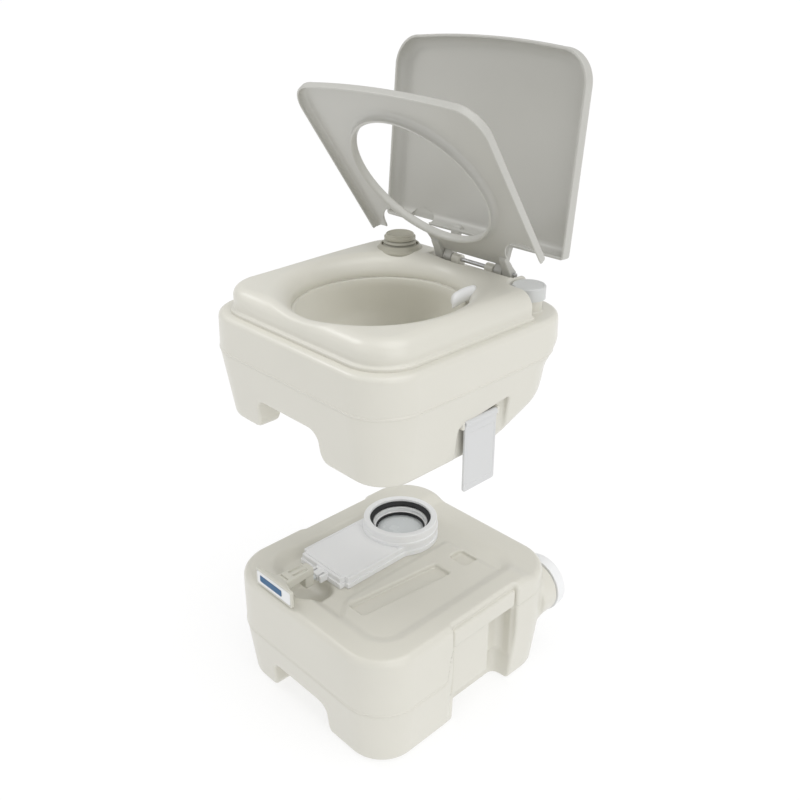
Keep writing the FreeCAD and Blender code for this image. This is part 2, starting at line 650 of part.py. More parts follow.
def lid():
    back = hinge.y - 34
    high = lid_low + size("lid_skirt")
    shape = dish(lid_low, high, back, wall, 9)
    for span in HINGE_LID:
        arm, bore = hinge_arm(span, back - 8, lid_low + 1, lid_low + 8)
        shape = shape.fuse(arm).cut(bore)
    # the rear skirt is open where the pump's knob stands under the shut lid
    pump = vector(-size("pump_left"), size("pump_back"), lid_low - 5)
    shape = shape.cut(rod(size("knob_radius") + 5, pump, vector(pump.x, pump.y, high - wall)))
    return feature("lid", largest(shape), opened(size("lid_angle")))


# ---------------------------------------------------------------- flush pump, hose and nozzle

PUMP = ("-Dims.pump_left", "Dims.pump_back", DECK)


def pump():
    turned("pump_flange", [("Dims.knob_radius + 3", "0"), ("Dims.pump_flange_radius", "0"),
                           ("Dims.pump_flange_radius", "4"), ("Dims.knob_radius + 6", "10"),
                           ("Dims.knob_radius + 3", "10")], PUMP)
    turned("pump_bellows", [("Dims.knob_radius - 4", "0.5"), ("Dims.knob_radius + 2", "0.5"),
                            ("Dims.knob_radius - 1", "4"), ("Dims.knob_radius + 2", "7"),
                            ("Dims.knob_radius - 1", "10"), ("Dims.knob_radius + 1", "13"),
                            ("Dims.knob_radius - 2", "16"), ("Dims.knob_radius - 4", "16"),
                            ("Dims.knob_radius - 3", "10"), ("Dims.knob_radius - 4", "4")], PUMP)
    turned("pump_knob", [("0", "16.2"), ("Dims.knob_radius - 3", "16.2"), ("Dims.knob_radius", "18"),
                         ("Dims.knob_radius", "22.5"), ("Dims.knob_radius - 4", "26"), ("0", "26")], PUMP)
    turned("pump_barrel", [("Dims.pump_barrel_radius - 2", "-70"), ("Dims.pump_barrel_radius", "-70"),
                           ("Dims.pump_barrel_radius", "0.3"), ("Dims.pump_barrel_radius - 2", "0.3")], PUMP)
    turned("pump_plunger", [("0", "-30"), ("Dims.pump_barrel_radius - 2.4", "-30"),
                            ("Dims.pump_barrel_radius - 2.4", "-24"), ("4", "-24"), ("4", "16.2"), ("0", "16.2")],
           PUMP)
    turned("pump_foot_valve", [("5", "-78"), ("Dims.pump_barrel_radius", "-78"),
                               ("Dims.pump_barrel_radius", "-70.2"), ("5", "-70.2")], PUMP)
    turned("pump_intake_tube", ring("3.6", "4.9", "-130", "-70.4"), PUMP)


def hose():
    """Delivery hose inside the tank, from the pump barrel round the rear of the bowl."""
    level_z = deck_z - 24
    points = [vector(-size("pump_left") + size("pump_barrel_radius") + 2, size("pump_back"), level_z),
              vector(-50, 134, level_z), vector(0, 140, level_z), vector(50, 132, level_z),
              nozzle_root + vector(-7, 18, -8), nozzle_root + nozzle_way * 6.5 + vector(0, 0, -1)]
    edges = []
    start = points[0]
    for index in range(1, len(points) - 1):
        corner = points[index]
        before = (points[index - 1] - corner)
        after = (points[index + 1] - corner)
        turn = math.pi - before.getAngle(after)
        trim = 0.4 * min(before.Length, after.Length)
        enter = corner + before.normalize() * trim
        leave = corner + after.normalize() * trim
        radius = trim / math.tan(turn / 2)
        inward = (before + after).normalize()
        centre = corner + inward * math.hypot(trim, radius)
        edges.append(Part.makeLine(start, enter))
        edges.append(Part.Arc(enter, centre - inward * radius, leave).toShape())
        start = leave
    edges.append(Part.makeLine(start, points[-1]))
    path = Part.Wire(edges)
    direction = (points[1] - points[0]).normalize()
    outer = Part.Wire(Part.Circle(points[0], direction, 4.5).toShape())
    return feature("flush_hose", path.makePipeShell([outer], True, False))


def flush_nozzle():
    """Spray nozzle: a stub through the bowl wall with a flat mouth under the rim."""
    stub = rod(6, vector(0, 0, 0), vector(-26, 0, 0))
    mouth = block(-36, -18, -11, 11, -6, 9)
    mouth = mouth.makeFillet(3, [edge for edge in mouth.Edges if edge.BoundBox.XLength > 1])
    slot = block(-37, -26, -8, 8, -3, 3)
    place = FreeCAD.Placement(nozzle_root, FreeCAD.Rotation(vector(0, 0, 1), 51.5))
    for shape in (stub, mouth, slot):
        shape.Placement = place
    mouth = mouth.common(bowl_form(-0.6, deck_z + 3, pocket_z - 16))
    return feature("flush_nozzle", stub.fuse(mouth).cut(slot))


# ---------------------------------------------------------------- fill cap and outlet gasket

def fill_and_outlet():
    rim = FEET + " + Dims.tank_height"
    fill = ("Dims.fill_right", "Dims.fill_back", rim)
    turned("fill_cap", [("Dims.fill_neck_radius + 0.4", "17"), ("Dims.fill_cap_radius", "17"),
                        ("Dims.fill_cap_radius", "33"), ("Dims.fill_cap_radius - 2", "35"), ("0", "35"),
                        ("0", "31"), ("Dims.fill_neck_radius + 0.4", "31")], fill)
    turned("fill_cap_gasket", ring("Dims.fill_neck_radius - 5", "Dims.fill_neck_radius", "27.2", "30.8"), fill)
    turned("outlet_gasket", ring("Dims.spigot_radius + 0.1", "Dims.spigot_radius + 5.4", "-4", "-0.1"),
           VALVE_XY + (FEET + " + Dims.foot_height",))


# ---------------------------------------------------------------- side latches

def latches():
    """Flat flap latches that hang in the side recesses and hook under the waste tank's catches."""
    height = feet_z + size("latch_height")
    half = size("latch_width") / 2
    for side, name in ((1, "right"), (-1, "left")):
        low = height - size("latch_length")
        plate = block(size("latch_out") - 2, size("latch_out") + 2, size("latch_middle") - half,
                      size("latch_middle") + half, low, height)
        foot = block(size("latch_out") - 7.5, size("latch_out"), size("latch_middle") - half + 6,
                     size("latch_middle") + half - 6, low, low + 5)
        axis_low = vector(size("latch_out"), size("latch_middle") - half, height)
        axis_high = vector(size("latch_out"), size("latch_middle") + half, height)
        shape = plate.fuse(foot).fuse(rod(4.5, axis_low, axis_high)).removeSplitter()
        shape = shape.cut(rod(2.07, axis_low - vector(0, 5, 0), axis_high + vector(0, 5, 0)))
        if side < 0:
            shape = shape.mirror(vector(0, 0, 0), vector(1, 0, 0))
        feature("latch_" + name, shape)
        pin = doc.addObject("Part::Cylinder", "latch_pin_" + name)
        pin.Radius = 2
        pin.setExpression("Height", "Dims.latch_width + 11")
        pin.Placement = FreeCAD.Placement(vector(0, 0, 0), FreeCAD.Rotation(vector(1, 0, 0), -90))
        pin.setExpression("Placement.Base.x", "%d * Dims.latch_out" % side)
        pin.setExpression("Placement.Base.y", "Dims.latch_middle - Dims.latch_width / 2 - 5.5")
        pin.setExpression("Placement.Base.z", FEET + " + Dims.latch_height")
        finish(pin, "latch_pin_" + name)


# ---------------------------------------------------------------- build, check and write

waste_tank()
slide_valve()
spout()
flush_tank()
bowl_deck()
hinge_pin()
seat()
lid()
pump()
hose()
flush_nozzle()
fill_and_outlet()
latches()
doc.recompute()

for obj in doc.Objects:
    if "Invalid" in obj.State or "Error" in obj.State:
        raise RuntimeError("%s did not build: %s" % (obj.Label, obj.State))
os.makedirs("parts", exist_ok=True)
for obj in pieces:
    if obj.Shape.isNull() or not obj.Shape.isValid():
        raise RuntimeError("%s has no valid shape" % obj.Label)
    obj.Shape.exportStep("parts/%s.step" % obj.Label)
    print("%-18s %8.1f cm3 %d solid(s)" % (obj.Label, obj.Shape.Volume / 1000, len(obj.Shape.Solids)))
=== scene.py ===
import math

import bmesh
import bpy
import numpy as np
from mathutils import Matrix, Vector


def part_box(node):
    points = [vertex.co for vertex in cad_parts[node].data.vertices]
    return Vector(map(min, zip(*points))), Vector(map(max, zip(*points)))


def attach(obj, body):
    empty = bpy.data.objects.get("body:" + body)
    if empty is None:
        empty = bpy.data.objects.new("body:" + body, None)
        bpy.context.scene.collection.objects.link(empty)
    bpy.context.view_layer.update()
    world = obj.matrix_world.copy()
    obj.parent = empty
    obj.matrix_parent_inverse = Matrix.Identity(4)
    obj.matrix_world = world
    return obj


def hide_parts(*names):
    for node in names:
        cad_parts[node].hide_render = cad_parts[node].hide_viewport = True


# Portable camp toilet, split for emptying.  The moulded shells are skins drawn over distance
# fields: each field gives the distance in millimetres to a piece's surface, negative inside it,
# so edges and hollows get true moulded radii.  Turned pieces are lathed.  All places come from
# the CAD frame, +Z up, -Y to the front.

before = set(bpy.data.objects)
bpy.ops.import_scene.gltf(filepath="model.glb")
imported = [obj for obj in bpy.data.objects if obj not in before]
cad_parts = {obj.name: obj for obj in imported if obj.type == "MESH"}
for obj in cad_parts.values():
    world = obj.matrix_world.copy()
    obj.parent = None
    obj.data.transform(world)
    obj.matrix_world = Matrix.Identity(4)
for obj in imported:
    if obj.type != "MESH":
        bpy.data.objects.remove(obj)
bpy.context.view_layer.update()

METRE = 1000.0                       # millimetres in a metre
GRID = 1.0    # coarser skins while trying things
LATHE_STEPS = 96


# ---------------------------------------------------------------- places, from the frame

def corners(node):
    low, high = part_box(node)
    return np.array(low) * METRE, np.array(high) * METRE


def centre(node):
    low, high = corners(node)
    return (low + high) / 2


WASTE_LOW, WASTE_HIGH = corners("waste_tank")
WASTE_HALF = WASTE_HIGH[0]
WASTE_FRONT = WASTE_LOW[1]
WASTE_BACK = WASTE_HIGH[1] - 15.0    # the spout's neck stands 15 mm out of the rear face
BASE = corners("valve_housing")[0][2]
WASTE_TOP = WASTE_HIGH[2]
TANK_LOW, TANK_HIGH = corners("flush_tank")
TANK_HALF = TANK_HIGH[0]
FEET = TANK_LOW[2]
DECK = corners("pump_flange")[0][2]
RIM = DECK - 34.0
RIDGE = RIM - 51.0
POCKET = RIM - 106.0
SPIGOT = corners("bowl_deck")[0][2]
HINGE = centre("hinge_pin")
VALVE = centre("valve_collar")
SPOUT = centre("spout_cap")
FILL = centre("fill_cap")
PUMP = centre("pump_flange")
SEAM = 99.0                          # parting line of the waste tank
CUT_LEFT, CUT_RIGHT = -73.0, 53.0    # hand cut-outs at the front of both tanks
WALL = 3.0                           # of the seat and the lid
BOWL_WALL = 8.0
PLATE = -62.0                        # middle line of the valve's plate
PLATE_HALF = 56.0
PLATE_FRONT = -90.0
VALVE_TOP = BASE + 18.0
ROD_LEVEL = BASE + 9.0               # middle height of the blade and its rod
HANDLE_LEVEL = ROD_LEVEL + 20.0
THROAT_RADIUS = 40.4
BLADE_POCKET = 44.6                  # radius of the pocket the blade slides in


# ---------------------------------------------------------------- distance fields

def join(a, b, radius):
    """Both solids, with a fillet where they meet."""
    return np.maximum(radius, np.minimum(a, b)) - np.hypot(np.maximum(radius - a, 0),
                                                           np.maximum(radius - b, 0))


def common(a, b, radius):
    """What lies in both solids, with rounded edges."""
    return np.minimum(-radius, np.maximum(a, b)) + np.hypot(np.maximum(radius + a, 0),
                                                            np.maximum(radius + b, 0))


def carve(a, b, radius):
    """The first solid without the second, with rounded edges."""
    return common(a, -b, radius)


def plan(x, y, cx, cy, half_x, half_y, corner):
    """Rounded rectangle seen from above."""
    dx = np.abs(x - cx) - half_x + corner
    dy = np.abs(y - cy) - half_y + corner
    return np.hypot(np.maximum(dx, 0), np.maximum(dy, 0)) + np.minimum(np.maximum(dx, dy), 0) - corner


def span(value, low, high):
    """Slab between two parallel planes."""
    return np.abs(value - (low + high) / 2) - (high - low) / 2


def brick(x, y, z, low, high, radius):
    """Box between two corners, with rounded edges."""
    flat = plan(x, y, (low[0] + high[0]) / 2, (low[1] + high[1]) / 2, (high[0] - low[0]) / 2,
                (high[1] - low[1]) / 2, radius)
    return common(flat, span(z, low[2], high[2]), radius)


def disc(x, y, cx, cy, radius):
    return np.hypot(x - cx, y - cy) - radius


def oval(x, y, cx, cy, half_x, half_y):
    """Ellipse; close to a true distance near its outline."""
    ratio = np.hypot((x - cx) / half_x, (y - cy) / half_y)
    slope = np.hypot((x - cx) / half_x ** 2, (y - cy) / half_y ** 2) + 1e-6
    return (ratio - 1) * np.maximum(ratio, 0.3) / slope


def step(value, low, high):
    """Soft rise from 0 to 1 between two limits."""
    t = np.clip((value - low) / (high - low), 0, 1)
    return t * t * (3 - 2 * t)


def bump(value, middle, width):
    """Soft bead, 1 high at its middle."""
    return np.exp(-((value - middle) / width) ** 2)


def soft_curve(keys, softness):
    """Function through (position, value) keys with its corners softened."""
    places, values = zip(*keys)
    table = np.arange(places[0] - 30, places[-1] + 30, 0.5)
    line = np.interp(table, places, values)
    reach = max(1, int(softness / 0.5))
    kernel = np.hanning(2 * reach + 3)
    padded = np.pad(line, reach + 1, mode="edge")
    smooth = np.convolve(padded, kernel / kernel.sum(), mode="valid")
    return lambda value: np.interp(value, table, smooth)


# ---------------------------------------------------------------- skins over fields

def ticks(low, high, spacing, *finer):
    """Grid positions from low to high; each finer stretch is (start, end, spacing)."""
    marks = [low]
    while marks[-1] < high:
        here = marks[-1]
        gaps = [gap for start, end, gap in finer if start - 0.01 <= here < end]
        ahead = [start for start, end, gap in finer if here < start < here + spacing * GRID]
        marks.append(min([here + min(gaps + [spacing]) * GRID] + [a + 0.02 for a in ahead]))
    return np.array(marks)


def slope(field, points):
    """Value and gradient of a field at loose points."""
    gap = 0.15
    x, y, z = points.T
    value = field(x, y, z)
    grad = np.stack([field(x + gap, y, z) - field(x - gap, y, z),
                     field(x, y + gap, z) - field(x, y - gap, z),
                     field(x, y, z + gap) - field(x, y, z - gap)], axis=1) / (2 * gap)
    return value, grad


def skin(field, xs, ys, zs):
    """Quads and corner points of the field's zero surface (surface nets, then drawn onto it)."""
    axes = (xs, ys, zs)
    value = field(xs[:, None, None], ys[None, :, None], zs[None, None, :])
    value = np.ascontiguousarray(np.broadcast_to(value, [len(a) for a in axes]), dtype=np.float32)
    inside = value < 0
    full = np.zeros([len(a) - 1 for a in axes], np.int8)
    for dx in (0, 1):
        for dy in (0, 1):
            for dz in (0, 1):
                full += inside[dx:dx + full.shape[0], dy:dy + full.shape[1], dz:dz + full.shape[2]]
    mixed = (full > 0) & (full < 8)
    cells = np.argwhere(mixed)
    number = np.full(mixed.shape, -1, np.int64)
    number[mixed] = np.arange(len(cells))

    def place(index):
        return np.stack([axes[k][index[:, k]] for k in range(3)], axis=1)

    total = np.zeros((len(cells), 3))
    hits = np.zeros(len(cells))
    for axis in range(3):
        for a in (0, 1):
            for b in (0, 1):
                start = cells + np.insert([a, b], axis, 0)
                end = cells + np.insert([a, b], axis, 1)
                v0, v1 = value[tuple(start.T)], value[tuple(end.T)]
                crossed = (v0 < 0) != (v1 < 0)
                share = np.where(crossed, v0 / np.where(crossed, v0 - v1, 1), 0)[:, None]
                total += crossed[:, None] * (place(start) * (1 - share) + place(end) * share)
                hits += crossed
    points = total / hits[:, None]
    quads = []
    for axis in range(3):
        low = inside.take(range(len(axes[axis]) - 1), axis)
        high = inside.take(range(1, len(axes[axis])), axis)
        edges = np.argwhere(low != high)
        u, v = (axis + 1) % 3, (axis + 2) % 3
        kept = ((edges[:, u] > 0) & (edges[:, v] > 0) & (edges[:, u] < len(axes[u]) - 1)
                & (edges[:, v] < len(axes[v]) - 1))
        edges = edges[kept]
        ring = []
        for du, dv in ((1, 1), (0, 1), (0, 0), (1, 0)):
            cell = edges.copy()
            cell[:, u] -= du
            cell[:, v] -= dv
            ring.append(number[tuple(cell.T)])
        ring = np.stack(ring, axis=1)
        outward = low[tuple(edges.T)]
        quads.append(np.where(outward[:, None], ring, ring[:, ::-1]))
    reach = 0.6 * max(np.diff(a).max() for a in axes)
    for _ in range(4):
        level, grad = slope(field, points)
        move = grad * (level / np.maximum((grad ** 2).sum(1), 0.05))[:, None]
        length = np.linalg.norm(move, axis=1)[:, None]
        points = points - move * np.minimum(1, reach / np.maximum(length, 1e-9))
    return points, np.concatenate(quads)


def opened(points, angle):
    """Swings points about the hinge pin, from shut to the open angle."""
    a = math.radians(angle)
    y = points[:, 1] - HINGE[1]
    z = points[:, 2] - HINGE[2]
    return np.stack([points[:, 0], HINGE[1] + y * math.cos(a) + z * math.sin(a),
                     HINGE[2] - y * math.sin(a) + z * math.cos(a)], axis=1)


def solid_mesh(name, points, faces, normals=None):
    """Smooth mesh object from points in millimetres."""
    mesh = bpy.data.meshes.new(name)
    mesh.from_pydata((points / METRE).tolist(), [], faces)
    mesh.polygons.foreach_set("use_smooth", [True] * len(mesh.polygons))
    if normals is not None:
        mesh.normals_split_custom_set_from_vertices(normals.tolist())
    obj = bpy.data.objects.new(name, mesh)
    bpy.context.scene.collection.objects.link(obj)
    return obj


def settle(obj, body, material, nodes):
    """What every piece needs: its body, its finish and the CAD nodes that it stands for."""
    obj.data.materials.append(material)
    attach(obj, body)
    if nodes:
        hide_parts(*nodes)
    return obj


def moulded(name, field, grid, body, material, nodes=(), angle=0.0):
    """A piece whose surface is the zero surface of a field."""
    points, quads = skin(field, *grid)
    normals = slope(field, points)[1]
    normals /= np.maximum(np.linalg.norm(normals, axis=1), 1e-6)[:, None]
    if angle:
        tips = opened(points + normals, angle)
        points = opened(points, angle)
        normals = tips - points
    obj = solid_mesh(name, points, quads.tolist(), normals)
    return settle(obj, body, material, nodes)


def rounded_outline(corner_points, steps=5):
    """Rounds each (radius, height, fillet) corner of a lathe profile."""
    outline = []
    count = len(corner_points)
    for index, (r, h, fillet) in enumerate(corner_points):
        here = Vector((r, h))
        if fillet == 0 or index in (0, count - 1):
            outline.append((r, h))
            continue
        before = Vector(corner_points[index - 1][:2]) - here
        after = Vector(corner_points[index + 1][:2]) - here
        half = before.angle(after) / 2
        reach = min(fillet / math.tan(half), 0.49 * before.length, 0.49 * after.length)
        enter, leave = here + before.normalized() * reach, here + after.normalized() * reach
        for k in range(steps + 1):
            t = k / steps
            point = enter * (1 - t) ** 2 + here * 2 * t * (1 - t) + leave * t ** 2
            outline.append((point.x, point.y))
    return outline


def turned(name, profile, base, body, material, nodes=(), along_y=False, teeth=0, tooth=0.0,
           tooth_span=(0.0, 0.0), count=None):
    """Lathed piece; teeth push the wall in between ribs over a stretch of its height."""
    outline = rounded_outline(profile)
    count = count or LATHE_STEPS
    widest = max(r for r, h in outline)
    points = []
    for k in range(count):
        turn = 2 * math.pi * k / count
        ribbed = max(0.0, math.cos(turn * teeth)) ** 0.6 if teeth else 0.0
        for r, h in outline:
            near_wall = teeth and r > widest - 1.0 and tooth_span[0] <= h <= tooth_span[1]
            radius = r - tooth * (1 - ribbed) if near_wall else r
            across, up = radius * math.cos(turn), radius * math.sin(turn)
            points.append((across, h, -up) if along_y else (across, up, h))
    rows = len(outline)
    faces = []
    for k in range(count):
        here, there = k * rows, (k + 1) % count * rows
        for j in range(rows - 1):
            faces.append((here + j, there + j, there + j + 1, here + j + 1))
    obj = solid_mesh(name, np.array(points) + np.array(base), faces)
    tidy_ends(obj)
    return settle(obj, body, material, nodes)


def tidy_ends(obj):
    """Welds the points that meet on the axis and marks sharp creases."""
    shape = bmesh.new()
    shape.from_mesh(obj.data)
    bmesh.ops.remove_doubles(shape, verts=shape.verts, dist=1e-6)
    bmesh.ops.recalc_face_normals(shape, faces=shape.faces)
    shape.to_mesh(obj.data)
    shape.free()
    obj.data.set_sharp_from_angle(angle=math.radians(38))


# ---------------------------------------------------------------- materials

def shader_of(material):
    return next(n for n in material.node_tree.nodes if n.type == "BSDF_PRINCIPLED")


def noise_node(nodes, links, coordinates, scale, detail):
    node = nodes.new("ShaderNodeTexNoise")
    node.inputs["Scale"].default_value = scale
    node.inputs["Detail"].default_value = detail
    links.new(coordinates.outputs["Object"], node.inputs["Vector"])
    return node


def ranged(nodes, links, source, low, high):
    node = nodes.new("ShaderNodeMapRange")
    node.inputs["To Min"].default_value = low
    node.inputs["To Max"].default_value = high
    links.new(source, node.inputs["Value"])
    return node.outputs["Result"]


def moulding(name, colour, roughness, mottle=0.03, peel=0.04, grain=700.0, coat=0.0, edge=0.0,
             metallic=0.0, specular=0.5):
    """Moulded surface: faint colour mottling, uneven gloss, fine orange-peel and a lighter tone on sharp
    convex edges.
    """
    material = bpy.data.materials.new(name)
    material.use_nodes = True
    nodes, links = material.node_tree.nodes, material.node_tree.links
    shader = shader_of(material)
    shader.inputs["Metallic"].default_value = metallic
    shader.inputs["Coat Weight"].default_value = coat
    shader.inputs["Coat Roughness"].default_value = 0.22
    shader.inputs["Specular IOR Level"].default_value = specular
    coordinates = nodes.new("ShaderNodeTexCoord")
    broad = noise_node(nodes, links, coordinates, 9.0, 3.0)
    fine = noise_node(nodes, links, coordinates, grain, 2.0)
    smears = noise_node(nodes, links, coordinates, 38.0, 5.0)
    tint = nodes.new("ShaderNodeMix")
    tint.data_type = "RGBA"
    tint.inputs["A"].default_value = (*[c * (1 - mottle) for c in colour], 1)
    tint.inputs["B"].default_value = (*[min(1, c * (1 + mottle)) for c in colour], 1)
    links.new(broad.outputs["Fac"], tint.inputs["Factor"])
    result = tint.outputs["Result"]
    if edge:
        # lighter tone on sharp convex edges, taken from the mesh's pointiness
        geometry = nodes.new("ShaderNodeNewGeometry")
        convex_edge_tone = nodes.new("ShaderNodeMapRange")
        convex_edge_tone.inputs["From Min"].default_value = 0.52
        convex_edge_tone.inputs["From Max"].default_value = 0.62
        convex_edge_tone.inputs["To Max"].default_value = edge
        links.new(geometry.outputs["Pointiness"], convex_edge_tone.inputs["Value"])
        lighter = nodes.new("ShaderNodeMix")
        lighter.data_type = "RGBA"
        lighter.inputs["B"].default_value = (*[min(1, c * 1.12 + 0.03) for c in colour], 1)
        links.new(convex_edge_tone.outputs["Result"], lighter.inputs["Factor"])
        links.new(result, lighter.inputs["A"])
        result = lighter.outputs["Result"]
    links.new(result, shader.inputs["Base Color"])
    links.new(ranged(nodes, links, smears.outputs["Fac"], roughness - 0.05, roughness + 0.06),
              shader.inputs["Roughness"])
    relief = nodes.new("ShaderNodeBump")
    relief.inputs["Strength"].default_value = peel
    relief.inputs["Distance"].default_value = 0.0006
    links.new(fine.outputs["Fac"], relief.inputs["Height"])
    links.new(relief.outputs["Normal"], shader.inputs["Normal"])
    return material


TANK = moulding("tank_plastic", (0.70, 0.685, 0.615), 0.34, coat=0.25, edge=0.5)
# darker than the tank plastic: partly the covers' own greyer tone, partly painted shade for the shaded
# inner faces of the open seat and lid
COVER = moulding("cover_plastic_shade_darkened", (0.52, 0.515, 0.48), 0.36, coat=0.2, edge=0.5)
WHITE = moulding("white_plastic", (0.86, 0.865, 0.87), 0.33, mottle=0.015, coat=0.15, edge=0.3)
BLADE = moulding("blade_plastic", (0.70, 0.73, 0.74), 0.26, mottle=0.02, coat=0.2)
HANDLE = moulding("handle_plastic", (0.66, 0.65, 0.58), 0.42, edge=0.6)
LABEL = moulding("label_blue", (0.008, 0.10, 0.24), 0.38, mottle=0.06)
SEAL = moulding("seal_rubber", (0.018, 0.018, 0.020), 0.50, peel=0.1, specular=0.35)
STEEL = moulding("pin_steel", (0.62, 0.62, 0.63), 0.30, metallic=1.0, peel=0.08, grain=1400.0)
PUMP_PLASTIC = moulding("pump_plastic", (0.43, 0.415, 0.345), 0.40, edge=0.6)
PUMP_RUBBER = moulding("pump_rubber", (0.42, 0.41, 0.35), 0.60, peel=0.1)
INNER = moulding("inner_plastic", (0.66, 0.66, 0.65), 0.45)
HOSE = moulding("hose_plastic", (0.58, 0.61, 0.61), 0.30)
CAP_GREY = moulding("cap_plastic", (0.62, 0.63, 0.62), 0.38, edge=0.6)
LATCH = moulding("latch_plastic", (0.66, 0.665, 0.665), 0.38, edge=0.5)


# ---------------------------------------------------------------- waste tank

waste_inset = soft_curve([(0, 11), (SEAM, 0.3), (165, 0.6), (WASTE_TOP, 1.5)], 8)
CATCH = 153.0                        # lower edge of the proud panel in each side recess
RECESS = (-38.0, 102.0)              # side recess, from front to back
RECESS_FLOOR = 167.0
WASTE_CORNER = 69.0
GRIP_TOP = 148.0                     # finger grip behind the proud panel
FOOT_TOP = 58.0                      # undercut at the foot of the side recess
CUT_TOP, CUT_DEPTH = 55.0, 44.0      # hand cut-out at the front
NECK_RADIUS, BOSS_RADIUS = 37.0, 45.0


def raised_top(x, y):
    """Height of the top: low round the slide valve, stepped up beyond it, high at the shoulders."""
    shoulder = -plan(x, y, 0, 8, 128, 142, 34)
    sill = 1 - step(shoulder, -14, 9)
    left = x - (VALVE[0] + 62)
    slant = (x + 0.8 * y + 76) / 1.28
    platform = step(left, 0, 14) * step(slant, 0, 13) * step(124 - y, 0, 16)
    bay = BASE + 4.5 * platform
    shoulder_top = WASTE_TOP - 8 * step(y, 118, 150) * step(x, -100, -70)
    return bay + (shoulder_top - bay) * sill


def waste_field(x, y, z):
    middle_y = (WASTE_FRONT + WASTE_BACK) / 2
    inset = waste_inset(z)
    seam = SEAM + (CATCH - SEAM) * step(y, RECESS[0] - 16, RECESS[0] - 2)
    bead = 0.9 * bump(z, seam, 1.0) - 0.5 * bump(z, seam - 2.6, 1.2)
    side = plan(x, y, 0, middle_y, WASTE_HALF - inset, (WASTE_BACK - WASTE_FRONT) / 2 - inset,
                WASTE_CORNER - inset) - bead
    top = raised_top(x, y)
    body = common(side, (z - top) * 0.93, 11)
    body = common(body, -z, 9)
    # side recesses: a proud panel above, a finger grip behind it, undercut at the foot
    recess = common(span(y, *RECESS), RECESS_FLOOR - np.abs(x), 5)
    body = carve(body, recess, 5)
    panel = common(span(y, RECESS[0] + 1.2, RECESS[1] - 3), np.abs(x) - 173.6, 4)
    panel = common(common(panel, span(z, CATCH, WASTE_TOP - 9), 4), 150 - np.abs(x), 1)
    body = join(body, panel, 1.5)
    ledge = common(span(y, RECESS[0] + 1.2, 44), np.abs(x) - 171, 4)
    ledge = common(common(ledge, span(z, 60, CATCH + 6), 4), 150 - np.abs(x), 1)
    body = join(body, ledge, 1.5)
    grip = common(span(y, 48, 100), RECESS_FLOOR - 24 - np.abs(x), 12)
    body = carve(body, common(grip, z - GRIP_TOP, 8), 4)
    foot = common(span(y, -26, 100), 136 - np.abs(x), 12)
    body = carve(body, common(foot, z - FOOT_TOP, 12), 4)
    # hand cut-out at the front, flared at its foot
    notch = common(span(x, CUT_LEFT, CUT_RIGHT), z - CUT_TOP, 16)
    notch = common(join(notch, z + 4, 22), y - (WASTE_FRONT + CUT_DEPTH), 8)
    body = carve(body, notch, 4)
    # shallow shapes pressed into the top
    channel = plan(x, y, VALVE[0], -122, 40, 30, 22)
    body = carve(body, common(channel, BASE - 22 - z, 18), 8)
    trough = plan(x - 0.11 * y, y, 53, -24, 16, 82, 5)
    body = carve(body, common(trough, BASE - 3 - z, 3), 4)
    pocket = plan(x, y, 62, 103, 17, 15, 5)
    body = carve(body, common(pocket, BASE - 5 - z, 3), 3.5)
    # pour-out boss and neck on the rear face
    around = np.hypot(x - SPOUT[0], z - SPOUT[2])
    body = join(body, common(around - BOSS_RADIUS, span(y, WASTE_BACK - 30, WASTE_BACK + 3), 3), 8)
    body = join(body, common(around - NECK_RADIUS, span(y, WASTE_BACK - 30, WASTE_BACK + 15), 1.5), 2)
    # throat under the valve, opening into the hollow inside
    hollow = common(disc(x, y, VALVE[0] + 10, VALVE[1] - 20, 88), span(z, 9, BASE - 7), 20)
    body = carve(body, hollow, 2)
    return carve(body, common(disc(x, y, VALVE[0], VALVE[1], 41), span(z, 150, BASE + 30), 1), 1)


def waste_tank():
    grid = (ticks(-180, 180, 3.0, (-180, -160, 2.0), (30, 76, 1.6), (160, 180, 2.0)),
            ticks(-190, 228, 3.0, (-190, -140, 2.4), (-60, -34, 1.4), (40, 125, 2.2)),
            ticks(-3, WASTE_TOP + 6, 3.0, (-3, 20, 2.4), (SEAM - 4, SEAM + 3, 0.7),
                  (SEAM + 3, CATCH + 8, 1.6), (CATCH + 8, WASTE_TOP + 6, 1.8)))
    moulded("waste_tank_shell", waste_field, grid, "waste_section", TANK, ["waste_tank"])


# ---------------------------------------------------------------- slide valve

